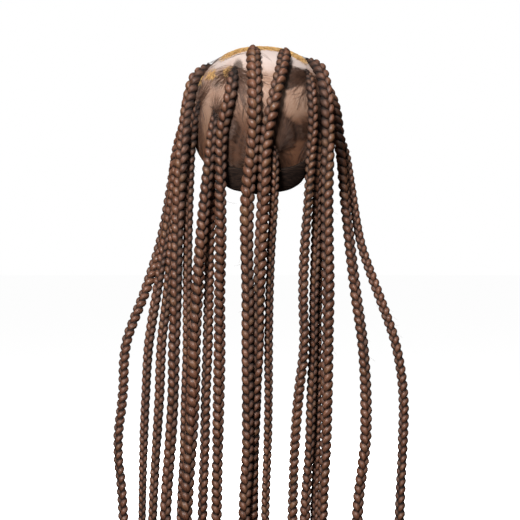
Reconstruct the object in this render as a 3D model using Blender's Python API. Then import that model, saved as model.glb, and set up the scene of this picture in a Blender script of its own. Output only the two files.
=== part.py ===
"""A braid wig: a hollow lace cap edged with a nape band, and eighteen long three-strand braids.

The wearer looks along +Y, so -Y is the back of the head. The origin is where the crown of the head
meets the inside of the cap. Sizes are in millimetres here, and MM turns them into Blender's metres.
"""

import math
from collections import namedtuple

import bmesh
import bpy
from mathutils import Matrix, Vector

MM = 0.001

# The cap's outer surface: a rounded crown down to its widest level, then tucked in to the nape
CAP_WALL = 2.0
CAP_HALF_WIDTH = 78.0
CAP_FRONT_REACH = 92.0
CAP_BACK_REACH = 98.0
CROWN_DEPTH = 75.0
CROWN_POWER = 2.08
NAPE_SPAN = 90.0
WIDTH_TUCK = 18.0
FRONT_TUCK = 12.0
BACK_TUCK = 30.0
TUCK_END = 1.2
CAP_COLUMNS = 40
CAP_ROWS = 12
ROW_CROWDING = 1.35

# The stretch band along the nape, outside the lace
BAND_HEIGHT = 26.0
BAND_RISE = 1.0
BAND_THICKNESS = 1.5
BAND_HALF_TURN = 44.0
BAND_COLUMNS = 16
BAND_ROWS = 2
BAND_LEAD_IN = 10.0

# The braids
SEAT_GAP = 0.4
BRAID_FLATNESS = 0.78
BRAID_SIDES = 8
ROOT_TAPER = 22.0
ROOT_SHARE = 0.5
TIP_TAPER = 26.0
TIP_SHARE = 0.55
HALVINGS = 30
CAP_STEP = 12.0
HANG_STEP = 25.0
HANG_START_DEPTH = 105.0
TIP_DRIFT = 0.5
NECK_FORWARD = 40.0
FACING_SPREAD = 0.35

# Depth below the crown of the levels that a braid's route is given at
ACROSS_LEVELS = (56, 110, 164, 218, 272, 326, 380, 434, 488)
BEHIND_LEVELS = (110, 218, 326, 488)

HAIR_COLOUR = (0.085, 0.036, 0.022, 1.0)
LACE_COLOUR = (0.62, 0.42, 0.34, 1.0)
BAND_COLOUR = (0.035, 0.018, 0.013, 1.0)

RimPoint = namedtuple("RimPoint", "from_front depth")
RIM = (
    RimPoint(0, 50),
    RimPoint(20, 53),
    RimPoint(40, 64),
    RimPoint(58, 86),
    RimPoint(75, 98),
    RimPoint(95, 97),
    RimPoint(108, 120),
    RimPoint(120, 132),
    RimPoint(145, 160),
    RimPoint(180, 167),
)

# on_cap holds (turn, depth) for the places on the cap that a braid passes over, its root first: turn is
# in degrees from the middle of the back, positive to the wearer's right.
# across is x at ACROSS_LEVELS, behind is y at BEHIND_LEVELS, widths are at the cap and near the tip.
Braid = namedtuple("Braid", "name on_cap across behind widths tip_depth")
BRAIDS = (
    Braid("braid_temple_left", ((-167, 41), (-141, 34), (-117, 60)),
          (None, -92, -100, -110, -127, -146, -149, -154, -149), (6, -14, -44, -66), (10.8, 9.2), 572),
    Braid("braid_ear_left", ((-150, 14), (-119, 34), (-102, 66)),
          (None, -88, -96, -105, -113, -121, -124, -126, -127), (-12, -30, -52, -70), (11.6, 7.2), 560),
    Braid("braid_side_left", ((-112, 20), (-99, 42), (-91, 68)),
          (None, -83, -90, -96, -101, -107, -109, -112, -115), (-30, -46, -60, -74), (10.6, 8.2), 580),
    Braid("braid_front_left", ((-80, 21), (-74, 38)),
          (-77, -84, -88, -90, -91, -93, -94, -97, -101), (-55, -65, -72, -80), (12.8, 10.2), 592),
    Braid("braid_behind_ear_left", ((-57, 62),),
          (None, -75.5, -78, -79, -79, -79, -81, -82, -85), (-44, -55, -66, -80), (9.8, 8.0), 566),
    Braid("braid_back_left", ((-38, 74),),
          (None, -53, -59, -64, -68, -71, -72, -75, -79), (-82, -84, -87, -91), (11.4, 12.4), 598),
    Braid("braid_nape_left", ((-41, 112),),
          (None, None, -53, -55, -56, -57, -59, -60, -62), (-66, -68, -74, -80), (9.2, 9.6), 570),
    Braid("braid_crown_left", ((-25, 29),),
          (-32, -42, -43, -43, -44, -44, -45, -46, -47), (-85, -88, -90, -92), (11.8, 9.6), 588),
    Braid("braid_top_left", ((-12, 7),),
          (-7, -8, -14, -15, -14, -14, -14, -14, -17), (-105, -105, -106, -107), (13.6, 10.0), 600),
    Braid("braid_top_right", ((40, 9),),
          (16, 5, 3, 0, -2, -3, -6, -8, -9), (-104, -105, -101, -94), (13.0, 9.2), 584),
    Braid("braid_nape_middle", ((-1, 125),),
          (None, None, 1, -1, -2, -3, -4, -6, -7), (-92, -88, -87, -84), (8.2, 7.4), 574),
    Braid("braid_back_right", ((11, 108),),
          (None, None, 14, 11, 9, 8, 8, 7, 5), (-95, -93, -90, -86), (8.6, 7.6), 590),
    Braid("braid_crown_right", ((49, 30),),
          (54, 54, 51, 47, 45, 46, 40, 36, 34), (-72, -76, -82, -87), (9.4, 9.6), 578),
    Braid("braid_nape_right", ((52, 90),),
          (None, None, 60, 59, 57, 56, 54, 52, 48), (-58, -57, -66, -77), (8.8, 9.6), 564),
    Braid("braid_behind_ear_right", ((72, 82),),
          (None, 71, 66, 63, 62, 61, 61, 60, 58), (-38, -45, -55, -66), (8.2, 7.6), 586),
    Braid("braid_front_right", ((77, 16), (68, 29)),
          (70, 72, 71, 71, 72, 71, 70, 69, 66), (-57, -72, -77, -84), (13.6, 9.4), 596),
    Braid("braid_ear_right", ((150, 14), (119, 34), (102, 62)),
          (None, 87, 92, 97, 103, 110, 113, 112, 105), (3, -24, -48, -68), (11.4, 10.0), 576),
    Braid("braid_temple_right", ((167, 41), (141, 34), (117, 62)),
          (None, 92, 101, 110, 128, 146, 154, 153, 150), (19, -8, -38, -58), (7.8, 10.0), 568),
)


def clear_scene():
    for thing in list(bpy.data.objects):
        bpy.data.objects.remove(thing)


def make_material(name, colour, roughness):
    material = bpy.data.materials.new(name)
    material.use_nodes = True
    surface = material.node_tree.nodes["Principled BSDF"]
    surface.inputs["Base Color"].default_value = colour
    surface.inputs["Roughness"].default_value = roughness
    surface.inputs["Metallic"].default_value = 0.0
    return material


def finish_piece(name, shape, material):
    """The shape made an object in metres, smooth, with its faces pointing out."""
    bmesh.ops.scale(shape, vec=(MM, MM, MM), verts=shape.verts)
    bmesh.ops.recalc_face_normals(shape, faces=shape.faces)
    mesh = bpy.data.meshes.new(name)
    shape.to_mesh(mesh)
    shape.free()
    mesh.materials.append(material)
    mesh.shade_smooth()
    mesh.set_sharp_from_angle(angle=math.radians(50))
    piece = bpy.data.objects.new(name, mesh)
    bpy.context.scene.collection.objects.link(piece)
    return piece


def read_between(table, position):
    """The value at position in a table of (place, value) pairs, read straight between its rows."""
    if position <= table[0][0]:
        return table[0][1]
    for (start, low), (end, high) in zip(table, table[1:]):
        if position <= end:
            share = (position - start) / (end - start)
            return low + (high - low) * share
    return table[-1][1]


def rim_depth(turn):
    """Depth of the cap's edge at a turn from the middle of the back, rounded off between the rim's points."""
    from_front = 180 - abs((turn + 180) % 360 - 180)
    softened = [read_between(RIM, from_front + shift) for shift in (-8, -4, 0, 4, 8)]
    return sum(softened) / len(softened)


def half_sizes(depth):
    """Half width, front reach and back reach of the head's section at a depth, before the crown closes it."""
    tuck = min(max((depth - CROWN_DEPTH) / NAPE_SPAN, 0), TUCK_END) ** 2
    return (
        CAP_HALF_WIDTH - WIDTH_TUCK * tuck,
        CAP_FRONT_REACH - FRONT_TUCK * tuck,
        CAP_BACK_REACH - BACK_TUCK * tuck,
    )


def crown_share(depth):
    """How much of its full section the head has reached at a depth: 0 at the crown, 1 at the widest level."""
    above = max(1 - depth / CROWN_DEPTH, 0)
    return (1 - above**CROWN_POWER) ** (1 / CROWN_POWER)


def cap_point(turn, depth):
    """A point of the cap's outer surface."""
    half_width, front, back = half_sizes(depth)
    angle = math.radians(turn)
    reach = back if math.cos(angle) > 0 else front
    share = crown_share(depth)
    return Vector((share * half_width * math.sin(angle), -share * reach * math.cos(angle), CAP_WALL - depth))


def outside_ratio(point):
    """Below 0 inside the cap's outer surface, 0 on it and above 0 outside."""
    depth = CAP_WALL - point.z
    half_width, front, back = half_sizes(depth)
    reach = front if point.y > 0 else back
    across = math.hypot(point.x / half_width, point.y / reach)
    above = max(1 - depth / CROWN_DEPTH, 0)
    return (across**CROWN_POWER + above**CROWN_POWER) ** (1 / CROWN_POWER) - 1


def slope(point):
    """Direction out of the cap at a point, as long as the ratio's change for each millimetre."""
    step = 0.5
    return Vector(
        [
            (outside_ratio(point + axis * step) - outside_ratio(point - axis * step)) / (2 * step)
            for axis in (Vector((1, 0, 0)), Vector((0, 1, 0)), Vector((0, 0, 1)))
        ]
    )


def clearance_of(point):
    """Distance of a point from the cap's outer surface, negative inside."""
    return outside_ratio(point) / slope(point).length


def seated(point, clearance):
    """The point moved along the surface's normal until it stands off the cap by the clearance."""
    for _ in range(6):
        outward = slope(point).normalized()
        point = point + outward * (clearance - clearance_of(point))
    return point


def lifted(point, clearance):
    """The point itself where it is clear of the cap, and otherwise moved out to the clearance."""
    return seated(point, clearance) if clearance_of(point) < clearance else point


def behind_cap(x, depth, clearance):
    """A point on the back of the cap at a place across and a depth, or None where it lies beside the cap."""
    z = CAP_WALL - depth
    if clearance_of(Vector((x, 0, z))) >= clearance:
        return None
    near, far = 0.0, 1.5 * CAP_BACK_REACH
    for _ in range(HALVINGS):
        middle = (near + far) / 2
        if clearance_of(Vector((x, -middle, z))) < clearance:
            near = middle
        else:
            far = middle
    return Vector((x, -far, z))


def band_room(point):
    """How far a braid has to stand off the cap to pass over the nape band, easing in above it and beside it."""
    depth = CAP_WALL - point.z
    half_width, _, back = half_sizes(depth)
    turn = math.degrees(math.atan2(point.x / half_width, -point.y / back))
    above = rim_depth(turn) - BAND_RISE - BAND_HEIGHT - depth
    beside = abs(turn) - BAND_HALF_TURN
    eased = min(max(1 - max(above, beside) / BAND_LEAD_IN, 0), 1)
    return (BAND_THICKNESS + SEAT_GAP) * eased


def guide_points(braid):
    """The points that a braid's middle line passes through, from its root to its tip."""
    clearance = braid.widths[0] * BRAID_FLATNESS / 2 + SEAT_GAP
    points = [seated(cap_point(turn, depth), clearance) for turn, depth in braid.on_cap]
    points[0] = seated(points[0], clearance * ROOT_SHARE)
    behind = tuple(zip(BEHIND_LEVELS, braid.behind))
    for depth, x in zip(ACROSS_LEVELS, braid.across):
        if x is None:
            continue
        y = read_between(behind, depth)
        on_cap = behind_cap(x, depth, clearance)
        if on_cap is not None and (on_cap.y < y or depth < BEHIND_LEVELS[0]):
            y = on_cap.y
        points.append(Vector((x, y, CAP_WALL - depth)))
    last, before = points[-1], points[-2]
    drop = braid.tip_depth - ACROSS_LEVELS[-1]
    drift = (last - before) * (drop / (before.z - last.z)) * TIP_DRIFT
    points.append(Vector((last.x + drift.x, last.y + drift.y, last.z - drop)))
    return points


def smooth_line(points, pieces=24):
    """A fine line through the points that turns evenly, by centripetal Catmull-Rom."""
    line = []
    ends = [points[0] * 2 - points[1], *points, points[-1] * 2 - points[-2]]
    for p0, p1, p2, p3 in zip(ends, ends[1:], ends[2:], ends[3:]):
        t1 = (p1 - p0).length ** 0.5
        t2 = t1 + (p2 - p1).length ** 0.5
        t3 = t2 + (p3 - p2).length ** 0.5
        for k in range(pieces):
            t = t1 + (t2 - t1) * k / pieces
            a1 = p0.lerp(p1, t / t1)
            a2 = p1.lerp(p2, (t - t1) / (t2 - t1))
            a3 = p2.lerp(p3, (t - t2) / (t3 - t2))
            b1 = a1.lerp(a2, t / t2)
            b2 = a2.lerp(a3, (t - t1) / (t3 - t1))
            line.append(b1.lerp(b2, (t - t1) / (t2 - t1)))
    line.append(points[-1])
    return line


def spread_stations(line):
    """Points along the line, close together over the cap and further apart where the braid hangs."""
    stations = [line[0]]
    run = 0.0
    for start, end in zip(line, line[1:]):
        run += (end - start).length
        hanging = CAP_WALL - end.z > HANG_START_DEPTH
        if run >= (HANG_STEP if hanging else CAP_STEP):
            stations.append(end)
            run = 0.0
    if (stations[-1] - line[-1]).length < CAP_STEP:
        stations.pop()
    stations.append(line[-1])
    return stations


def width_along(braid, run, length):
    """A braid's width at a run from its root: gathered at the root, slimmer down its length, bound at the tip."""
    top, low = braid.widths
    width = top + (low - top) * run / length
    root = ROOT_SHARE + (1 - ROOT_SHARE) * min(run / ROOT_TAPER, 1)
    tip = TIP_SHARE + (1 - TIP_SHARE) * min((length - run) / TIP_TAPER, 1)
    return width * root * tip


def flat_side(point, along):
    """The way that a braid's flat side faces: off the cap, and out from the neck where it hangs."""
    depth = CAP_WALL - point.z
    hang = min(max((depth - CROWN_DEPTH) / NAPE_SPAN, 0), 1)
    off_cap = slope(point).normalized()
    from_neck = Vector((FACING_SPREAD * point.x, point.y - NECK_FORWARD, 0)).normalized()
    facing = off_cap.lerp(from_neck, hang)
    facing -= along * facing.dot(along)
    return facing.normalized()


def run_along(points):
    """The length of line up to each of its points."""
    runs = [0.0]
    for start, end in zip(points, points[1:]):
        runs.append(runs[-1] + (end - start).length)
    return runs


def braid_route(braid):
    """The points that a braid's sections are centred on, clear of the cap."""
    line = smooth_line(guide_points(braid))
    runs = run_along(line)
    clear = [
        lifted(point, width_along(braid, run, runs[-1]) * BRAID_FLATNESS / 2 + SEAT_GAP + band_room(point))
        for point, run in zip(line, runs)
    ]
    return spread_stations(clear)


def make_braid(braid, material):
    """One braid: oval sections along its route, bridged into a closed solid."""
    stations = braid_route(braid)
    runs = run_along(stations)
    sections = bmesh.new()
    loops = []
    for k, (point, run) in enumerate(zip(stations, runs)):
        along = (stations[min(k + 1, len(stations) - 1)] - stations[max(k - 1, 0)]).normalized()
        facing = flat_side(point, along)
        width = width_along(braid, run, runs[-1])
        frame = Matrix((along.cross(facing), facing, along)).transposed().to_4x4()
        place = Matrix.Translation(point) @ frame @ Matrix.Diagonal((width / 2, width * BRAID_FLATNESS / 2, 1, 1))
        ring = bmesh.ops.create_circle(sections, segments=BRAID_SIDES, radius=1, matrix=place, cap_ends=False)
        loops.append({edge for vert in ring["verts"] for edge in vert.link_edges})
    for upper, lower in zip(loops, loops[1:]):
        bmesh.ops.bridge_loops(sections, edges=list(upper | lower))
    for end in (loops[0], loops[-1]):
        bmesh.ops.contextual_create(sections, geom=list(end))
    return finish_piece(braid.name, sections, material)


def make_lace_cap(material):
    """The cap: rings from the crown to its shaped edge, a pole at the crown, and a wall inside them."""
    shell = bmesh.new()
    loops = []
    for row in range(1, CAP_ROWS + 1):
        share = (row / CAP_ROWS) ** ROW_CROWDING
        ring = bmesh.ops.create_circle(shell, segments=CAP_COLUMNS, radius=1, cap_ends=row == 1)
        for column, vert in enumerate(ring["verts"]):
            turn = 360 * column / CAP_COLUMNS
            vert.co = cap_point(turn, rim_depth(turn) * share)
        loops.append({edge for vert in ring["verts"] for edge in vert.link_edges})
        if row == 1:
            crown = bmesh.ops.poke(shell, faces=shell.faces[:])["verts"][0]
            crown.co = Vector((0, 0, CAP_WALL))
    for upper, lower in zip(loops, loops[1:]):
        bmesh.ops.bridge_loops(shell, edges=[edge for edge in upper if edge.is_boundary] + list(lower))
    cap = finish_piece("lace_cap", shell, material)
    wall = cap.modifiers.new("wall", "SOLIDIFY")
    wall.thickness = CAP_WALL * MM
    wall.offset = -1
    return cap


def make_nape_band(material):
    """The stretch band: a strip that follows the nape's edge just outside the lace."""
    strip = bmesh.new()
    bmesh.ops.create_grid(strip, x_segments=BAND_COLUMNS, y_segments=BAND_ROWS, size=1)
    for vert in strip.verts:
        turn = vert.co.x * BAND_HALF_TURN
        depth = rim_depth(turn) - BAND_RISE - BAND_HEIGHT * (vert.co.y + 1) / 2
        vert.co = seated(cap_point(turn, depth), SEAT_GAP)
    inner = strip.faces[:]
    outer = bmesh.ops.extrude_face_region(strip, geom=inner)["geom"]
    for vert in [item for item in outer if isinstance(item, bmesh.types.BMVert)]:
        vert.co = seated(vert.co, SEAT_GAP + BAND_THICKNESS)
    return finish_piece("nape_band", strip, material)


def main():
    clear_scene()
    hair = make_material("hair", HAIR_COLOUR, 0.45)
    make_lace_cap(make_material("lace", LACE_COLOUR, 0.75))
    make_nape_band(make_material("band", BAND_COLOUR, 0.8))
    for braid in BRAIDS:
        make_braid(braid, hair)


main()
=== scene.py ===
# A braid wig: eighteen long three-strand braids rooted on a lace cap, with the hair combed from
# partings into each root. Everything is in metres, +Z up, and the back of the head faces -Y.

import math

import bmesh
import bpy
import numpy as np
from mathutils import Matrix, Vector
from mathutils.bvhtree import BVHTree


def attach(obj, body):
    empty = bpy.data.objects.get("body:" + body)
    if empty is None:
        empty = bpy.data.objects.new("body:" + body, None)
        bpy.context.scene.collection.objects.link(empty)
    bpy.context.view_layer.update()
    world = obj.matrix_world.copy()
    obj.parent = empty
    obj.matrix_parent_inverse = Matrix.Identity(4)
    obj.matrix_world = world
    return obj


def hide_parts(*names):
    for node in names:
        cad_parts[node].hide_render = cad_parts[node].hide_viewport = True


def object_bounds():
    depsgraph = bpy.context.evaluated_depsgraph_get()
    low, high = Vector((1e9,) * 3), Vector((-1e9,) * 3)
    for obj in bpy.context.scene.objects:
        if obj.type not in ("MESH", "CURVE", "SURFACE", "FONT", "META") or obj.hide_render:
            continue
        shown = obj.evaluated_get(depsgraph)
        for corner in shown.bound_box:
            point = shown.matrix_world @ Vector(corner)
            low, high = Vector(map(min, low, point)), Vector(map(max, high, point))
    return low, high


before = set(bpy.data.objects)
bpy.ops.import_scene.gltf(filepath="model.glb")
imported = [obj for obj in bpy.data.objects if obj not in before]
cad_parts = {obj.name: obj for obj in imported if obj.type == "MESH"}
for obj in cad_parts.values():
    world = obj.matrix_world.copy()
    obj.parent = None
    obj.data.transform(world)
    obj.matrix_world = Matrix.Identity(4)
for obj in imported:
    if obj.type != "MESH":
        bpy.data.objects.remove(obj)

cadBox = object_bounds()
rng = np.random.default_rng(11)
braidNames = sorted(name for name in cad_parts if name.startswith("braid_"))
headCentre = np.array([0, 0, -0.07])


# Shader maths: a Signal is one output socket, and arithmetic on it adds Math nodes
class Signal:
    def __init__(self, graph, socket):
        self.graph = graph
        self.socket = socket

    def __add__(self, other):
        return self.graph.math("ADD", self, other)

    def __radd__(self, other):
        return self.graph.math("ADD", other, self)

    def __sub__(self, other):
        return self.graph.math("SUBTRACT", self, other)

    def __rsub__(self, other):
        return self.graph.math("SUBTRACT", other, self)

    def __mul__(self, other):
        return self.graph.math("MULTIPLY", self, other)

    def __rmul__(self, other):
        return self.graph.math("MULTIPLY", other, self)


class Graph:
    def __init__(self, name):
        self.material = bpy.data.materials.new(name)
        self.material.use_nodes = True
        self.nodes = self.material.node_tree.nodes
        self.links = self.material.node_tree.links
        self.surface = self.nodes["Principled BSDF"]

    # Any node: its settings first, then the values or links of its sockets, by name or number
    def add(self, kind, settings=None, sockets=None, out=0):
        node = self.nodes.new(kind)
        for key, value in (settings or {}).items():
            setattr(node, key, value)
        for key, value in (sockets or {}).items():
            self.feed(node.inputs[key], value)
        return Signal(self, node.outputs[out])

    def feed(self, socket, value):
        if isinstance(value, Signal):
            self.links.new(value.socket, socket)
        else:
            socket.default_value = value

    def math(self, operation, a, b=0.0, clamp=False):
        return self.add("ShaderNodeMath", {"operation": operation, "use_clamp": clamp}, {0: a, 1: b})

    def clamp(self, value):
        return self.math("ADD", value, 0.0, clamp=True)

    # Eases from 0 to 1 as the value goes from low to high
    def step(self, value, low, high):
        return self.add("ShaderNodeMapRange", {"interpolation_type": "SMOOTHSTEP"},
                        {"Value": value, "From Min": low, "From Max": high})

    def mix(self, factor, a, b, blend="MIX"):
        return self.add("ShaderNodeMix", {"data_type": "RGBA", "blend_type": blend}, {0: factor, 6: a, 7: b}, out=2)

    def vector(self, x, y, z):
        return self.add("ShaderNodeCombineXYZ", None, {0: x, 1: y, 2: z})

    def noise(self, place, scale=1.0, detail=2.0, roughness=0.5):
        return self.add("ShaderNodeTexNoise", None,
                        {"Vector": place, "Scale": scale, "Detail": detail, "Roughness": roughness})

    def attribute(self, name, out="Fac"):
        return self.add("ShaderNodeAttribute", {"attribute_name": name}, out=out)

    def bump(self, height, strength, distance, under=None):
        sockets = {"Height": height, "Strength": strength, "Distance": distance}
        if under is not None:
            sockets["Normal"] = under
        return self.add("ShaderNodeBump", None, sockets)

    # Links what varies and sets what doesn't on the shader's own sockets
    def finish(self, **sockets):
        for key, value in sockets.items():
            self.feed(self.surface.inputs[key.replace("_", " ")], value)
        return self.material


def uvParts(graph):
    place = graph.add("ShaderNodeUVMap", {"uv_map": "UVMap"})
    parts = graph.nodes.new("ShaderNodeSeparateXYZ")
    graph.feed(parts.inputs[0], place)
    return Signal(graph, parts.outputs[0]), Signal(graph, parts.outputs[1])


# A closed tube as a bent grid, thin at both ends: "around" and "along" say where each corner is on it
def tubeTemplate(sides, rows):
    tube = bmesh.new()
    tube.loops.layers.uv.new("UVMap")
    bmesh.ops.create_grid(tube, x_segments=sides, y_segments=rows, size=0.5, calc_uvs=True)
    around = tube.verts.layers.float.new("around")
    along = tube.verts.layers.float.new("along")
    for corner in tube.verts:
        corner[around] = corner.co.x + 0.5
        corner[along] = corner.co.y + 0.5
        angle = 2 * math.pi * corner[around]
        atEnd = min(corner[along], 1 - corner[along]) < 1e-4
        reach = 0 if atEnd else 1
        corner.co = (reach * math.cos(angle), reach * math.sin(angle), 3 * rows * corner[along])
    bmesh.ops.remove_doubles(tube, verts=tube.verts, dist=1e-4)
    bmesh.ops.recalc_face_normals(tube, faces=tube.faces)
    mesh = bpy.data.meshes.new("template")
    tube.to_mesh(mesh)
    tube.free()
    return mesh


# Many copies of a template in one mesh, in order, made by an Array
def arrayOf(name, template, count):
    maker = bpy.data.objects.new("maker", template)
    bpy.context.scene.collection.objects.link(maker)
    array = maker.modifiers.new("array", "ARRAY")
    array.count = count
    array.use_relative_offset = False
    array.use_constant_offset = True
    array.constant_offset_displace = (3, 0, 0)
    deps = bpy.context.evaluated_depsgraph_get()
    mesh = bpy.data.meshes.new_from_object(maker.evaluated_get(deps))
    mesh.name = name
    bpy.data.objects.remove(maker)
    return mesh


def readFloats(mesh, name):
    values = np.empty(len(mesh.vertices))
    mesh.attributes[name].data.foreach_get("value", values)
    return values


def writeFloats(mesh, name, values):
    if name in mesh.attributes:
        mesh.attributes.remove(mesh.attributes[name])
    layer = mesh.attributes.new(name, "FLOAT", "POINT")
    layer.data.foreach_set("value", np.asarray(values, dtype=np.float32).ravel())


def writeVectors(mesh, name, values):
    layer = mesh.attributes.new(name, "FLOAT_VECTOR", "POINT")
    layer.data.foreach_set("vector", np.asarray(values, dtype=np.float32).ravel())


def readPlaces(mesh):
    places = np.empty(3 * len(mesh.vertices))
    mesh.vertices.foreach_get("co", places)
    return places.reshape(-1, 3)


def writePlaces(mesh, places):
    mesh.vertices.foreach_set("co", np.asarray(places, dtype=np.float32).ravel())
    mesh.update()


# Turns the array's 0 to 1 map into one where U is turns round the tube and V is metres along it
def stretchMap(mesh, lengths, perCopy):
    corners = np.empty(len(mesh.loops), dtype=np.int64)
    mesh.loops.foreach_get("vertex_index", corners)
    layer = mesh.uv_layers["UVMap"]
    places = np.empty(2 * len(mesh.loops))
    layer.data.foreach_get("uv", places)
    places = places.reshape(-1, 2)
    places[:, 1] *= np.asarray(lengths)[corners // perCopy]
    layer.data.foreach_set("uv", places.astype(np.float32).ravel())


def addPiece(name, mesh, material, replaced=()):
    piece = bpy.data.objects.new(name, mesh)
    bpy.context.scene.collection.objects.link(piece)
    mesh.materials.clear()
    mesh.materials.append(material)
    mesh.shade_smooth()
    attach(piece, "root")
    if replaced:
        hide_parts(*replaced)
    return piece


def unit(vectors):
    return vectors / np.maximum(np.linalg.norm(vectors, axis=-1, keepdims=True), 1e-12)


# Evenly spread points on a Catmull-Rom line through the given ones, and its length
def smoothPath(points, samples):
    ends = np.vstack([2 * points[0] - points[1], points, 2 * points[-1] - points[-2]])
    fine = []
    shares = np.linspace(0, 1, 16, endpoint=False)[:, None]
    for p0, p1, p2, p3 in zip(ends, ends[1:], ends[2:], ends[3:]):
        fine.append(0.5 * (2 * p1 + (p2 - p0) * shares + (2 * p0 - 5 * p1 + 4 * p2 - p3) * shares**2
                           + (3 * p1 - p0 - 3 * p2 + p3) * shares**3))
    fine = np.vstack([*fine, points[-1:]])
    runs = np.concatenate([[0], np.cumsum(np.linalg.norm(np.diff(fine, axis=0), axis=1))])
    wanted = np.linspace(0, runs[-1], samples)
    return np.stack([np.interp(wanted, runs, fine[:, k]) for k in range(3)], axis=1), runs[-1]


# The route of a braid is read from its node in the frame, ring by ring up from its tip: the middle of
# each ring, the direction of its broad side and its breadth
def readRoute(node, ringSides=8):
    shape = bmesh.new()
    shape.from_mesh(node.data)
    bmesh.ops.remove_doubles(shape, verts=shape.verts, dist=1e-6)
    tip = sorted(shape.verts, key=lambda corner: corner.co.z)[:ringSides]
    rings = [tip]
    seen = set(tip)
    while True:
        reached = {upwardShade.other_vert(corner) for corner in rings[-1] for upwardShade in corner.link_edges} - seen
        if not reached:
            break
        rings.append(list(reached))
        seen |= reached
    rings.reverse()
    middles, broad, breadths = [], [], []
    for ring in rings:
        places = np.array([corner.co for corner in ring])
        middle = places.mean(axis=0)
        arms = places - middle
        lengths = np.linalg.norm(arms, axis=1)
        side = arms[lengths.argmax()] / lengths.max()
        if broad and side @ broad[-1] < 0:
            side = -side
        middles.append(middle)
        broad.append(side)
        breadths.append(2 * lengths.max())
    shape.free()
    return np.array(middles), np.array(broad), np.array(breadths)


plait = {
    # length in which each strand comes back to its side: a part for every braid, and more on broader ones
    "period": 0.0105,
    "periodByBreadth": 1.45,
    "usualPeriod": 0.029,  # about that length on a middling braid, from which the rings are counted
    "samplesPerPeriod": 20,
    "sides": 10,
    "stand": 1.12,         # the plaited hair's breadth against the solid braid's
    "swing": 0.228,        # how far a strand swings across, as a share of the braid's breadth
    "dive": 0.195,         # how far it dips in front and behind
    "strandAcross": 0.250,
    "strandDeep": 0.258,
    "swell": 0.50,         # how much a strand swells at the edges of the braid, across and in depth
    "swellDeep": 0.66,
    "endTaper": 0.012,
    "turnAtCap": 0.62,     # how far a braid is turned about its own line on the cap, in radians
    "turnFrom": -0.075,    # height from which that changes, and the length that it takes
    "turnRun": 0.10,
    "sways": ((0.16, 0.055), (0.10, 0.021)),       # how far a hanging braid turns to and fro, and its run
    "loosenesses": ((0.05, 0.071), (0.04, 0.023)), # how much thicker and thinner it gets, and its run
    # how far it is turned where it hangs: above zero the row of lobes on the right comes forward, below
    # zero the left one
    "hangTurns": {
        "braid_temple_left": 0.30, "braid_ear_left": -0.40, "braid_side_left": -0.35, "braid_front_left": -0.50,
        "braid_behind_ear_left": -0.35, "braid_back_left": -1.00, "braid_nape_left": 0.35, "braid_crown_left": -0.95,
        "braid_top_left": -0.45, "braid_top_right": 0.50, "braid_nape_middle": -0.30, "braid_back_right": -0.40,
        "braid_crown_right": 1.05, "braid_nape_right": -0.35, "braid_behind_ear_right": 0.30,
        "braid_front_right": 1.00, "braid_ear_right": -0.15, "braid_temple_right": 1.15,
    },
    "heartAcross": 0.455,  # half sizes of the heart that fills the grooves, painted near-black as shade
    "heartDeep": 0.300,
    "rootSink": 0.24,      # how deep the root is sunk into the cap, easing out over its run
    "rootRun": 0.030,
    "reachAcross": 0.53,   # where the lobes are full, against the bottom of the grooves, which are painted near-black as shade
    "reachDeep": 0.41,
    "farShade": 0.24,      # painted shade: how much darker the row of lobes is that lies turned away
    # painted shade: how much darker a braid is at its root, easing out over its own run
    "rootShade": 0.12,
    "rootShadeOwn": {"braid_crown_left": 0.40},
    "rootShadeRun": 0.035,
}


# The braid's frame turned slowly about its line below the cap, so that one row of lobes comes forward
def turnFrame(hangTurn, path, wanted, across, outward):
    hang = np.clip((plait["turnFrom"] - path[:, 2]) / plait["turnRun"], 0, 1)
    hang = hang * hang * (3 - 2 * hang)
    sway = sum(far * np.sin(wanted / run + rng.uniform(0, 6.28)) for far, run in plait["sways"])
    atCap = math.copysign(plait["turnAtCap"], hangTurn)
    turn = (atCap + (hangTurn - atCap + sway) * hang)[:, None]
    return across * np.cos(turn) + outward * np.sin(turn), outward * np.cos(turn) - across * np.sin(turn)


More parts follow.
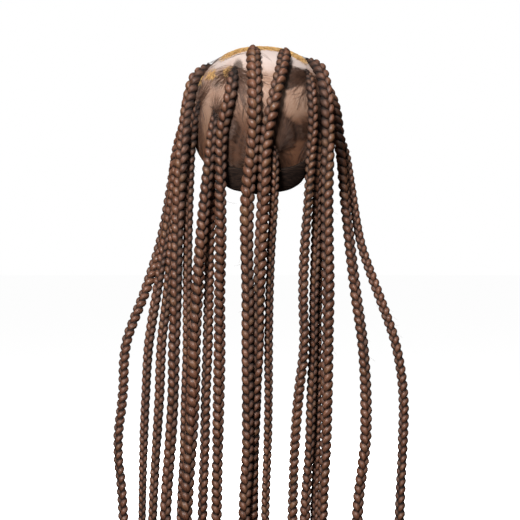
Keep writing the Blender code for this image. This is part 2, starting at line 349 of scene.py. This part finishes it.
# Three strands plaited along a route
def makeBraid(name, material):
    middles, broad, breadths = readRoute(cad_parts[name])
    rough = np.linalg.norm(np.diff(middles, axis=0), axis=1).sum()
    rows = int(rough / plait["usualPeriod"] * plait["samplesPerPeriod"])
    path, length = smoothPath(middles, rows + 1)
    knots = np.concatenate([[0], np.cumsum(np.linalg.norm(np.diff(middles, axis=0), axis=1))])
    knots *= length / knots[-1]
    wanted = np.linspace(0, length, rows + 1)
    across = np.stack([np.interp(wanted, knots, broad[:, k]) for k in range(3)], axis=1)
    breadth = np.interp(wanted, knots, breadths) * plait["stand"]
    ahead = unit(np.gradient(path, axis=0))
    across = unit(across - ahead * (across * ahead).sum(axis=1, keepdims=True))
    outward = np.cross(ahead, across)
    if (outward[rows // 8] * (path[rows // 8] - headCentre)).sum() < 0:
        across, outward = -across, -outward
    hangTurn = plait["hangTurns"][name]
    way = math.copysign(1, hangTurn)
    sunk = plait["rootSink"] * breadth * (1 - np.clip(wanted / plait["rootRun"], 0, 1))
    path = path - outward * sunk[:, None]
    across, outward = turnFrame(hangTurn, path, wanted, across, outward)

    template = tubeTemplate(plait["sides"], rows)
    perCopy = len(template.vertices)
    mesh = arrayOf(name, template, 4)
    around = readFloats(mesh, "around").reshape(4, perCopy)
    along = readFloats(mesh, "along").reshape(4, perCopy)
    places = np.empty((4, perCopy, 3))
    crest = np.zeros((4, perCopy))
    drift = rng.uniform(0, 6.28)
    looseness = 1 + sum(much * np.sin(wanted / run + (k + 1) * drift)
                        for k, (much, run) in enumerate(plait["loosenesses"]))
    ends = np.clip(np.minimum(wanted, length - wanted) / plait["endTaper"], 0, 1) ** 0.5
    ends[[0, -1]] = 0
    rootShade = plait["rootShadeOwn"].get(name, plait["rootShade"])
    # painted shade near the root, fading out along the braid
    atRoot = 1 - rootShade * np.clip(1.3 - 1.3 * wanted / plait["rootShadeRun"], 0, 1)
    turns = np.cumsum(length / rows / (plait["period"] + plait["periodByBreadth"] * breadth))
    for k in range(3):
        phase = 2 * np.pi * (turns + k / 3) + drift
        side = plait["swing"] * breadth * np.sin(phase)
        deep = -plait["dive"] * breadth * np.sin(2 * phase)
        line = path + across * side[:, None] + outward * deep[:, None]
        lineAhead = unit(np.gradient(line, axis=0))
        lineOut = unit(outward - lineAhead * (outward * lineAhead).sum(axis=1, keepdims=True))
        lineSide = np.cross(lineAhead, lineOut)
        lobe = np.sin(phase) ** 2 - 0.5
        swell = (1 + plait["swell"] * lobe) * looseness
        swellDeep = (1 + plait["swellDeep"] * lobe) * looseness
        row = np.rint(along[k] * rows).astype(int)
        angle = 2 * np.pi * around[k]
        wide = plait["strandAcross"] * breadth[row] * swell[row] * ends[row] * np.cos(angle)
        tall = plait["strandDeep"] * breadth[row] * swellDeep[row] * ends[row] * np.sin(angle)
        places[k] = line[row] + lineSide[row] * wide[:, None] + lineOut[row] * tall[:, None]
        off = places[k] - path[row]
        sideways = (off * across[row]).sum(axis=1) / breadth[row]
        deepways = (off * outward[row]).sum(axis=1) / breadth[row]
        reach = np.hypot(sideways / plait["reachAcross"], deepways / plait["reachDeep"])
        # painted shade: the row of lobes turned away is darkened in crest, so it reads as the shaded side
        crest[k] = reach * (1 - plait["farShade"] * np.clip(-3.0 * way * sideways, 0, 1)) * atRoot[row]
    # The heart keeps a crest of zero, so it is painted near-black as shade behind the lobes
    row = np.rint(along[3] * rows).astype(int)
    angle = 2 * np.pi * around[3]
    wide = plait["heartAcross"] * breadth[row] * ends[row] * np.cos(angle)
    tall = plait["heartDeep"] * breadth[row] * ends[row] * np.sin(angle)
    places[3] = path[row] + across[row] * wide[:, None] + outward[row] * tall[:, None]
    writePlaces(mesh, places.reshape(-1, 3))
    writeFloats(mesh, "crest", crest)
    writeFloats(mesh, "tone", np.repeat(rng.uniform(0, 1, 4) * 0.6 + rng.uniform(0, 0.4), perCopy))
    writeFloats(mesh, "around", around)
    writeFloats(mesh, "along", along * length)
    stretchMap(mesh, [length] * 4, perCopy)
    turnOutward(mesh)
    piece = addPiece("hair_" + name, mesh, material, (name,))
    return piece, path, breadth, across, outward


# Makes the faces of every tube in a mesh point outwards
def turnOutward(mesh):
    shape = bmesh.new()
    shape.from_mesh(mesh)
    bmesh.ops.recalc_face_normals(shape, faces=shape.faces)
    shape.to_mesh(mesh)
    shape.free()


# Hair laid lengthwise in a plaited strand: fibres along V, finer tone across them. The grooves between lobes are
# painted near-black as shade, from the crest attribute.
def strandMaterial():
    graph = Graph("plaited_hair")
    u, v = uvParts(graph)
    tone = graph.attribute("tone")
    crest = graph.attribute("crest")
    slant = u * 1.0 + v * 9.0
    fibres = graph.noise(graph.vector(slant * 46.0, v * 55.0, tone * 91.0), detail=3.0, roughness=0.6)
    locks = graph.noise(graph.vector(slant * 11.0, v * 38.0, tone * 57.0), detail=1.0)
    patches = graph.noise(graph.vector(u * 1.5, v * 24.0, tone * 31.0), detail=1.0)
    shade = graph.clamp(fibres * 0.75 + locks * 0.45 - 0.12)
    dark = (0.022, 0.009, 0.005, 1)
    warm = (0.175, 0.074, 0.043, 1)
    light = (0.540, 0.320, 0.225, 1)
    khaki = (0.220, 0.125, 0.055, 1)
    colour = graph.mix(graph.step(shade, 0.18, 0.55), dark, warm)
    colour = graph.mix(graph.step(shade, 0.52, 0.88), colour, light)
    colour = graph.mix(graph.step(patches + tone * 0.25, 0.62, 0.88) * 0.32, colour, khaki)
    # painted shade: low crest, in the grooves between lobes, goes near-black
    grooveShadeMask = graph.step(crest, 0.60, 1.16)
    colour = graph.mix(grooveShadeMask, (0.010, 0.004, 0.0025, 1), colour)
    relief = graph.bump(fibres * 0.6 + locks, 0.75, 0.0006)
    rough = 0.30 + shade * 0.22 + (1.0 - grooveShadeMask) * 0.45
    return graph.finish(Base_Color=colour, Roughness=rough, Normal=relief, Specular_IOR_Level=0.45)


capLook = {
    "smoothLevels": 3,
    "holeSize": 0.0011,    # one hole of the lace
    "crestY": -0.029,      # the golden parting that runs over the crown
    "crestHalf": 0.0150,
    "crestMiddle": 0.003,
    "crestReach": 0.044,   # how far it runs to each side of its middle before it thins out
    # how far dark hair lies thick round a root, where that isn't the usual reach
    "coverReach": 0.013,
    "coverOwn": {"braid_crown_left": 0.008, "braid_back_left": 0.007, "braid_top_left": 0.009,
                 "braid_top_right": 0.009, "braid_behind_ear_left": 0.010},
    # where the lace is darker with thicker hair, partly painted shade beside the braids, and below zero lighter
    # with thinner hair, partly painted light where the braids shade it; first on the right, then on the left: x,
    # depth, half breadth, half height, how much
    "thickness": (
        (0.043, 0.026, 0.009, 0.01, -1.3),
        (0.032, 0.031, 0.005, 0.008, 1.2),
        (0.01, 0.036, 0.01, 0.026, -0.4),
        (0.04, 0.042, 0.008, 0.006, 1.1),
        (0.03, 0.046, 0.006, 0.009, 1.1),
        (0.037, 0.064, 0.013, 0.017, -1.0),
        (0.027, 0.098, 0.014, 0.011, 1.1),
        (0.02, 0.1, 0.01, 0.022, 1.0),
        (0.031, 0.121, 0.02, 0.014, -1.0),
        (-0.0245, 0.036, 0.005, 0.014, 1.4),
        (-0.049, 0.042, 0.007, 0.012, 0.35),
        (-0.068, 0.046, 0.006, 0.007, 0.8),
        (-0.0195, 0.056, 0.005, 0.022, -0.7),
        (-0.062, 0.072, 0.012, 0.02, -0.8),
        (-0.065, 0.1, 0.012, 0.022, -1.0),
        (-0.026, 0.1, 0.008, 0.02, 0.25),
    ),
    # the tufts of the shorter golden parting on the left of the back: x, depth and half breadth
    "tufts": ((-0.036, 0.0325, 0.0055), (-0.054, 0.0350, 0.0050), (-0.069, 0.0395, 0.0045)),
}


# How much a place lies on one of the two golden partings, from 0 to 1, for points in rows
def onGoldenParting(places):
    x, y, z = places.T
    golden = np.clip(1.6 - np.abs(y - capLook["crestY"]) / capLook["crestHalf"] * 1.3, 0, 1) * (z > -0.05)
    golden *= np.clip((capLook["crestReach"] + 0.008 - np.abs(x - capLook["crestMiddle"])) / 0.016, 0, 1)
    for middle, depth, half in capLook["tufts"]:
        off = np.hypot((x - middle) / half, (z + depth) / (0.72 * half))
        golden = np.maximum(golden, np.clip(1.5 - off, 0, 1) * (y < 0.004))
    return golden


# How much thicker the hair lies than elsewhere, partly painted shade, or thinner below zero, partly painted light,
# from -1 to 1, for points in rows on the back
def thickHairAndShade(places):
    x, y, z = places.T
    thick = np.zeros(len(places))
    for middle, depth, across, down, much in capLook["thickness"]:
        off = np.hypot((x - middle) / across, (z + depth) / down)
        thick += much * np.clip(1.4 - 0.9 * off, 0, 1) * (y < 0.01)
    return np.clip(thick, -1, 1)


def capMaterial():
    graph = Graph("hand_tied_lace")
    place = graph.add("ShaderNodeTexCoord", out="Object")
    parts = graph.nodes.new("ShaderNodeSeparateXYZ")
    graph.feed(parts.inputs[0], place)
    height = Signal(graph, parts.outputs[2])
    comb = graph.attribute("comb", "Vector")
    parting = graph.attribute("parting")
    cover = graph.attribute("cover")
    golden = graph.attribute("golden")
    thick = graph.attribute("thick")
    holes = graph.add("ShaderNodeTexVoronoi", {"feature": "DISTANCE_TO_EDGE"},
                      {"Vector": place, "Scale": 1 / capLook["holeSize"]})
    streaks = graph.noise(comb, scale=1.0, detail=4.0, roughness=0.65)
    mottle = graph.noise(place, scale=38.0, detail=3.0)
    fine = graph.noise(place, scale=420.0, detail=2.0)
    thinAndLit = graph.clamp(thick * -1.0)
    depth = height * -1.0 + mottle * 0.030 - 0.015 - thinAndLit * 0.008
    pale = (0.540, 0.455, 0.425, 1)
    tan = (0.330, 0.200, 0.142, 1)
    brown = (0.135, 0.058, 0.032, 1)
    tint = graph.mix(graph.step(depth, 0.016, 0.036), pale, tan)
    tint = graph.mix(graph.step(depth, 0.060, 0.096), tint, brown)
    tint = graph.mix(graph.step(depth, 0.118, 0.134) * (1.0 - thinAndLit), tint, (0.045, 0.024, 0.017, 1))
    # painted shade and light from the patches: darker where the hair is thick, lighter and redder where it is thin
    tint = graph.mix(thinAndLit * graph.step(depth, 0.014, 0.036), tint,
                     graph.mix(graph.step(depth, 0.070, 0.110), (0.360, 0.220, 0.150, 1), (0.200, 0.086, 0.046, 1)))
    high = graph.step(depth, 0.085, 0.050)
    tint = graph.mix(graph.step(mottle, 0.45, 0.75) * high * 0.22, tint, (0.700, 0.540, 0.470, 1))
    dense = graph.step(depth, 0.030, 0.120) * 0.10 + cover * 0.55 + thick * 0.65
    hairs = graph.step(streaks + dense, 0.50, 0.86)
    colour = graph.mix(graph.step(streaks, 0.42, 0.60) * graph.step(depth, 0.020, 0.040) * 0.45,
                       tint, (0.250, 0.120, 0.062, 1))
    colour = graph.mix(hairs * 0.92, colour, (0.030, 0.014, 0.009, 1))
    colour = graph.mix(parting * 0.5, colour, tint)
    knots = graph.mix(graph.step(fine, 0.42, 0.60), (0.300, 0.130, 0.025, 1), (0.800, 0.520, 0.190, 1))
    colour = graph.mix(graph.step(golden + mottle * 0.5 - 0.25, 0.30, 0.75), colour, knots)
    colour = graph.mix(graph.step(holes, 0.16, 0.02) * (high * 0.16 + 0.04), colour, (0.80, 0.66, 0.58, 1))
    relief = graph.bump(graph.step(holes, 0.22, 0.02) + streaks * 1.2 + fine * golden, 0.35, 0.0004)
    return graph.finish(Base_Color=colour, Roughness=0.66 + mottle * 0.2, Normal=relief, Specular_IOR_Level=0.22)


# A CAD node as a smooth surface: its triangles merged, paired to quads and subdivided
def smoothCopy(name, levels):
    shape = bmesh.new()
    shape.from_mesh(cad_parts[name].data)
    bmesh.ops.remove_doubles(shape, verts=shape.verts, dist=1e-6)
    bmesh.ops.join_triangles(shape, faces=shape.faces, angle_face_threshold=0.7, angle_shape_threshold=0.7)
    base = bpy.data.meshes.new(name)
    shape.to_mesh(base)
    shape.free()
    maker = bpy.data.objects.new("maker", base)
    bpy.context.scene.collection.objects.link(maker)
    smooth = maker.modifiers.new("smooth", "SUBSURF")
    smooth.levels = smooth.render_levels = levels
    deps = bpy.context.evaluated_depsgraph_get()
    mesh = bpy.data.meshes.new_from_object(maker.evaluated_get(deps))
    bpy.data.objects.remove(maker)
    return mesh


# The root that each scalp place is combed to: the nearest, with roots to the side or lower down counted
# as farther, because the hair is combed up. Also how much nearer it is than the next, small along a parting.
def combTo(places, roots):
    steps = roots[None, :, :] - places[:, None, :]
    beside = 2.6 * np.linalg.norm(steps[:, :, :2], axis=2)
    cost = np.hypot(beside, steps[:, :, 2]) + 1.2 * np.maximum(-steps[:, :, 2], 0)
    order = np.sort(cost, axis=1)
    chosen = cost.argmin(axis=1)
    reach = np.linalg.norm(steps[np.arange(len(places)), chosen], axis=1)
    return chosen, reach, order[:, 1] - order[:, 0]


def makeCap(material, roots, outs):
    mesh = smoothCopy("lace_cap", capLook["smoothLevels"])
    places = readPlaces(mesh)
    chosen, reach, lead = combTo(places, roots)
    away = places - roots[chosen]
    out = outs[chosen]
    first = unit(np.cross(out, np.array([0, 0, 1.0])))
    second = np.cross(first, out)
    turn = np.arctan2((away * first).sum(axis=1), (away * second).sum(axis=1))
    comb = np.stack([turn * 26.0, reach * 60.0, chosen * 7.3], axis=1)
    writeVectors(mesh, "comb", comb)
    writeFloats(mesh, "parting", np.exp(-(lead / 0.0022) ** 2))
    own = np.array([capLook["coverOwn"].get(name, capLook["coverReach"]) for name in braidNames])
    writeFloats(mesh, "cover", np.clip(1.4 - 1.4 * reach / own[chosen], 0, 1))
    writeFloats(mesh, "golden", onGoldenParting(places))
    writeFloats(mesh, "thick", thickHairAndShade(places))
    return addPiece("cap_lace", mesh, material, ("lace_cap",))


wispLook = {
    "count": 9600,
    "sides": 3,
    "rows": 5,
    "radius": 0.00013,
    "lift": 0.0003,
    # how densely hair is tied in, against the depth below the crown
    "depths": (0.000, 0.022, 0.040, 0.070, 0.095, 0.180),
    "rates": (0.01, 0.02, 0.22, 0.42, 0.85, 1.10),
}


# Random places on the outside of the cap, tied in more densely lower down
def scatterOnCap(mesh, count, rateAt):
    mesh.calc_loop_triangles()
    corners = np.empty(3 * len(mesh.loop_triangles), dtype=np.int64)
    mesh.loop_triangles.foreach_get("vertices", corners)
    triangles = readPlaces(mesh)[corners.reshape(-1, 3)]
    normals = np.cross(triangles[:, 1] - triangles[:, 0], triangles[:, 2] - triangles[:, 0])
    middles = triangles.mean(axis=1)
    outside = (normals * (middles - headCentre)).sum(axis=1) > 0
    rate = np.linalg.norm(normals, axis=1) * outside * rateAt(middles)
    picked = rng.choice(len(rate), count, p=rate / rate.sum())
    a, b = rng.uniform(0, 1, (2, count, 1))
    flip = a + b > 1
    a, b = np.where(flip, 1 - a, a), np.where(flip, 1 - b, b)
    corner = triangles[picked]
    return corner[:, 0] + a * (corner[:, 1] - corner[:, 0]) + b * (corner[:, 2] - corner[:, 0])


def hairRate(places):
    depthRate = np.interp(-places[:, 2], wispLook["depths"], wispLook["rates"])
    thick = thickHairAndShade(places)
    return depthRate * (1 - 0.8 * onGoldenParting(places)) * np.where(thick > 0, 1 + 4 * thick, 1 + 0.85 * thick)


# Sweeps many thin tubes at once: lines is copies x rows x 3, radii is copies x rows
def sweepWisps(name, lines, radii, sides):
    copies, rows = lines.shape[:2]
    template = tubeTemplate(sides, rows - 1)
    perCopy = len(template.vertices)
    mesh = arrayOf(name, template, copies)
    around = readFloats(mesh, "around").reshape(copies, perCopy)
    along = readFloats(mesh, "along").reshape(copies, perCopy)
    ahead = unit(np.gradient(lines, axis=1))
    flat = unit(np.cross(ahead, ahead.mean(axis=1, keepdims=True)[:, :, [1, 2, 0]] + 0.3))
    other = np.cross(ahead, flat)
    row = np.rint(along * (rows - 1)).astype(int)
    copy = np.arange(copies)[:, None]
    angle = (2 * np.pi * around)[..., None]
    size = radii[copy, row][..., None]
    places = lines[copy, row] + size * (flat[copy, row] * np.cos(angle) + other[copy, row] * np.sin(angle))
    writePlaces(mesh, places.reshape(-1, 3))
    writeFloats(mesh, "along", along)
    writeFloats(mesh, "tone", np.repeat(rng.uniform(0, 1, copies), perCopy))
    lengths = np.linalg.norm(np.diff(lines, axis=1), axis=2).sum(axis=1)
    stretchMap(mesh, lengths, perCopy)
    turnOutward(mesh)
    return mesh, perCopy


# The place of the cap's outside that lies under or over a point, and the way that it faces
def capUnder(tree, point):
    outward = Vector(point - headCentre).normalized()
    onCap, normal, _, _ = tree.ray_cast(Vector(headCentre) + outward * 0.2, -outward)
    return onCap, normal


# Wisps combed over the lace from where they are tied to the root of their braid
def makeWisps(name, material, tree, starts, roots, routes):
    chosen, reach, _ = combTo(starts, roots)
    rows = wispLook["rows"] + 1
    count = len(starts)
    share = np.linspace(0, 1, rows)
    lines = np.empty((count, rows, 3))
    runIn = rng.uniform(0.0, 0.016, count)
    spin = rng.uniform(0, 2 * np.pi, count)
    bow = rng.normal(0, 0.07, count) * reach
    for k in range(count):
        path, breadth, across, outward = routes[chosen[k]]
        stepLength = np.linalg.norm(path[1] - path[0])
        at = min(int(runIn[k] / stepLength), len(path) - 1)
        rim = across[at] * math.cos(spin[k]) * 0.44 + outward[at] * (0.30 * math.sin(spin[k]) - 0.02)
        end = path[at] + rim * breadth[at]
        start = starts[k]
        travel = end - start
        sideways = np.cross(travel, start - headCentre)
        sideways /= max(np.linalg.norm(sideways), 1e-9)
        endLift = max((Vector(end) - capUnder(tree, end)[0]).length, 0.0002)
        for j, t in enumerate(share):
            onCap, normal = capUnder(tree, start + travel * t + sideways * bow[k] * math.sin(math.pi * t))
            lift = wispLook["lift"] + (endLift - wispLook["lift"]) * t**3
            lines[k, j] = onCap + normal * lift
    radii = np.full((count, rows), wispLook["radius"]) * rng.uniform(0.7, 1.5, (count, 1))
    mesh, perCopy = sweepWisps(name, lines, radii, wispLook["sides"])
    writeFloats(mesh, "bleach", np.zeros(len(mesh.vertices)))
    # the combed hairs tied in the dark patches are darker too, as part of their painted shade
    tones = rng.uniform(0, 1, count) * (1 - 0.85 * np.clip(thickHairAndShade(starts), 0, 1))
    writeFloats(mesh, "tone", np.repeat(tones, perCopy))
    return addPiece(name, mesh, material)


knotLook = {"count": 1100, "length": 0.0065, "radius": 0.00022, "rows": 5, "curl": 0.45}


# Short golden loops of the knots that show along the two partings
def makeGoldenKnots(material, capMesh, tree):
    starts = scatterOnCap(capMesh, knotLook["count"], lambda places: onGoldenParting(places) ** 2)
    rows = knotLook["rows"] + 1
    lines = np.empty((len(starts), rows, 3))
    sideways = unit(np.cross(np.array([0.0, 0.0, 1.0]), starts - headCentre))
    steep = unit(np.cross(starts - headCentre, sideways))
    heading = rng.normal(1.2, 0.5, (len(starts), 1)) * rng.choice([-1, 1], (len(starts), 1))
    ahead = sideways * np.cos(heading) + steep * np.sin(heading)
    beside = steep * np.cos(heading) - sideways * np.sin(heading)
    size = knotLook["length"] * rng.uniform(0.5, 1.3, (len(starts), 1))
    for j, t in enumerate(np.linspace(0, 1, rows)):
        bend = math.sin(2.6 * t) * knotLook["curl"]
        along = starts + size * (ahead * t + beside * bend)
        for k, place in enumerate(along):
            onCap, normal = capUnder(tree, place)
            lines[k, j] = onCap + normal * (0.0002 + 0.0011 * math.sin(math.pi * t))
    radii = np.full((len(starts), rows), knotLook["radius"]) * rng.uniform(0.7, 1.4, (len(starts), 1))
    mesh, perCopy = sweepWisps("golden_knots", lines, radii, 3)
    writeFloats(mesh, "bleach", np.repeat(rng.uniform(0.35, 1.0, len(starts)), perCopy))
    return addPiece("golden_knots", mesh, material)


def wispMaterial():
    graph = Graph("combed_hair")
    u, v = uvParts(graph)
    tone = graph.attribute("tone")
    along = graph.attribute("along")
    bleach = graph.attribute("bleach")
    grain = graph.noise(graph.vector(u * 3.0, v * 160.0, tone * 77.0), detail=2.0)
    colour = graph.mix(tone * 0.8 + grain * 0.3, (0.030, 0.015, 0.010, 1), (0.200, 0.098, 0.060, 1))
    golden = graph.mix(grain, (0.420, 0.190, 0.035, 1), (0.860, 0.600, 0.260, 1))
    colour = graph.mix(graph.step(bleach + along * 0.1, 0.05, 0.80), colour, golden)
    return graph.finish(Base_Color=colour, Roughness=0.42 + grain * 0.15, Specular_IOR_Level=0.5)


def bandMaterial():
    graph = Graph("nape_hair")
    place = graph.add("ShaderNodeTexCoord", out="Object")
    parts = graph.nodes.new("ShaderNodeSeparateXYZ")
    graph.feed(parts.inputs[0], place)
    x, z = Signal(graph, parts.outputs[0]), Signal(graph, parts.outputs[2])
    upwardShade = graph.step(graph.attribute("upward"), 0.15, 0.45)
    lines = graph.noise(graph.vector(x * 130.0 + z * 260.0, z * 1500.0, x * 60.0), detail=3.0, roughness=0.6)
    colour = graph.mix(graph.step(lines, 0.35, 0.75), (0.012, 0.008, 0.007, 1), (0.065, 0.038, 0.028, 1))
    # painted shade: the upward-facing top edge goes near-black, so it doesn't catch the light from above
    colour = graph.mix(upwardShade, colour, (0.006, 0.004, 0.003, 1))
    relief = graph.bump(lines, 0.5, 0.0005)
    return graph.finish(Base_Color=colour, Roughness=0.75 + lines * 0.2, Normal=relief, Specular_IOR_Level=0.15)


# The band of short hair, with how much each place faces up written for the painted shade on its upper edge
def makeBand(material):
    mesh = smoothCopy("nape_band", 1)
    facing = np.empty(3 * len(mesh.vertices))
    mesh.vertices.foreach_get("normal", facing)
    writeFloats(mesh, "upward", facing.reshape(-1, 3)[:, 2])
    return addPiece("nape_hair_band", mesh, material, ("nape_band",))


fuzzLook = {"perBraid": 90, "rows": 5, "length": 0.006, "radius": 0.00007}


# Short loose hairs that stand off the braids
def makeFuzz(material, routes):
    rows = fuzzLook["rows"] + 1
    lines = []
    for path, breadth, across, outward in routes:
        ahead = unit(np.gradient(path, axis=0))
        at = rng.integers(20, len(path) - 12, fuzzLook["perBraid"])
        spin = rng.uniform(0, 2 * np.pi, fuzzLook["perBraid"])[:, None]
        away = across[at] * np.cos(spin) * 0.5 + outward[at] * np.sin(spin) * 0.36
        start = path[at] + away * breadth[at][:, None] * 0.86
        lean = ahead[at] * rng.uniform(0.4, 1.2, spin.shape) + unit(away) * rng.uniform(0.15, 0.7, spin.shape)
        curl = rng.normal(0, 0.35, (len(at), 3))
        share = np.linspace(0, 1, rows)[None, :, None]
        size = fuzzLook["length"] * rng.uniform(0.4, 1.4, (len(at), 1, 1))
        lines.append(start[:, None] + size * (lean[:, None] * share + curl[:, None] * share**2))
    lines = np.concatenate(lines)
    radii = np.full(lines.shape[:2], fuzzLook["radius"])
    mesh, _ = sweepWisps("loose_hairs", lines, radii, 3)
    writeFloats(mesh, "bleach", np.zeros(len(mesh.vertices)))
    return addPiece("loose_hairs", mesh, material)


# size, watts, place, what it points at, colour
lamps = {
    "key": (0.45, 112, (-0.55, -2.15, 1.45), (0, 0, -0.22), (1, 0.97, 0.94)),
    "fill": (1.5, 5, (0.3, -2.6, 0.2), (0, 0, -0.25), (1, 0.98, 0.96)),
    "top": (1.2, 8, (0.1, -0.3, 1.7), (0, 0, -0.1), (1, 1, 1)),
    "front": (0.5, 50, (0.0, 2.6, 0.3), (0, 0, -0.25), (1, 0.99, 0.97)),
}


def addLight(name, size, power, place, target, colour):
    lamp = bpy.data.lights.new(name, "AREA")
    lamp.size = size
    lamp.energy = power
    lamp.color = colour
    light = bpy.data.objects.new(name, lamp)
    light.location = place
    light.rotation_mode = "QUATERNION"
    light.rotation_quaternion = (Vector(target) - Vector(place)).to_track_quat("-Z", "Y")
    bpy.context.scene.collection.objects.link(light)


view = {
    "metresPerPixel": 0.00108,
    "pixels": 520,
    "centreColumn": 261,
    "crownRow": 44,
    "distance": 2.5,
    "sharpPlane": -0.05,   # y of the plane where the scale holds
    "floorDrop": 0.045,    # floor below the longest tip
    "floorReach": 60,
}


def makeStage():
    scene = bpy.context.scene
    scene.view_settings.view_transform = "Standard"
    camera = bpy.data.cameras.new("camera")
    camera.sensor_width = 36
    camera.lens = 36 * view["distance"] / (view["pixels"] * view["metresPerPixel"])
    holder = bpy.data.objects.new("camera", camera)
    middle = view["pixels"] / 2
    holder.location = (
        (middle - view["centreColumn"]) * view["metresPerPixel"],
        view["sharpPlane"] - view["distance"],
        (view["crownRow"] - middle) * view["metresPerPixel"],
    )
    holder.rotation_euler = (math.radians(90), 0, 0)
    scene.collection.objects.link(holder)
    scene.camera = holder

    floor = bmesh.new()
    bmesh.ops.create_circle(floor, segments=64, radius=view["floorReach"], cap_ends=True)
    bmesh.ops.translate(floor, verts=floor.verts, vec=(0, 0, cadBox[0].z - view["floorDrop"]))
    mesh = bpy.data.meshes.new("floor")
    floor.to_mesh(mesh)
    floor.free()
    ground = bpy.data.objects.new("floor", mesh)
    scene.collection.objects.link(ground)
    paint = Graph("pale_floor")
    grain = paint.noise(paint.add("ShaderNodeTexCoord", out="Object"), scale=3.0)
    mesh.materials.append(paint.finish(Base_Color=paint.mix(grain, (0.90, 0.90, 0.90, 1), (0.93, 0.93, 0.93, 1)),
                                       Roughness=0.9, Specular_IOR_Level=0.1,
                                       Emission_Color=(1, 1, 1, 1), Emission_Strength=0.98))
    ground.visible_diffuse = ground.visible_glossy = False

    world = bpy.data.worlds.new("studio")
    scene.world = world
    world.use_nodes = True
    backdrop = world.node_tree.nodes["Background"]
    backdrop.inputs["Color"].default_value = (1, 1, 1, 1)
    backdrop.inputs["Strength"].default_value = 1.0
    # The world only shows behind the wig: its light comes from the lamps
    world.cycles_visibility.diffuse = world.cycles_visibility.glossy = False

    for name, row in lamps.items():
        addLight(name, *row)


print("stage and camera")
makeStage()

print("plaiting", len(braidNames), "braids")
strandHair = strandMaterial()
routes = []
for braidName in braidNames:
    piece, path, breadth, across, outward = makeBraid(braidName, strandHair)
    routes.append((path, breadth, across, outward))

print("lace cap")
roots = np.array([path[0] for path, _, _, _ in routes])
outs = unit(roots - headCentre)
cap = makeCap(capMaterial(), roots, outs)
makeBand(bandMaterial())

print("combed hair")
tree = BVHTree.FromObject(cap, bpy.context.evaluated_depsgraph_get())
combedHair = wispMaterial()
starts = scatterOnCap(cap.data, wispLook["count"], hairRate)
onLeft = starts[:, 0] < 0
makeWisps("combed_hair_left", combedHair, tree, starts[onLeft], roots, routes)
makeWisps("combed_hair_right", combedHair, tree, starts[~onLeft], roots, routes)

print("golden knots along the partings")
makeGoldenKnots(combedHair, cap.data, tree)

print("loose hairs")
makeFuzz(combedHair, routes)

print("done")
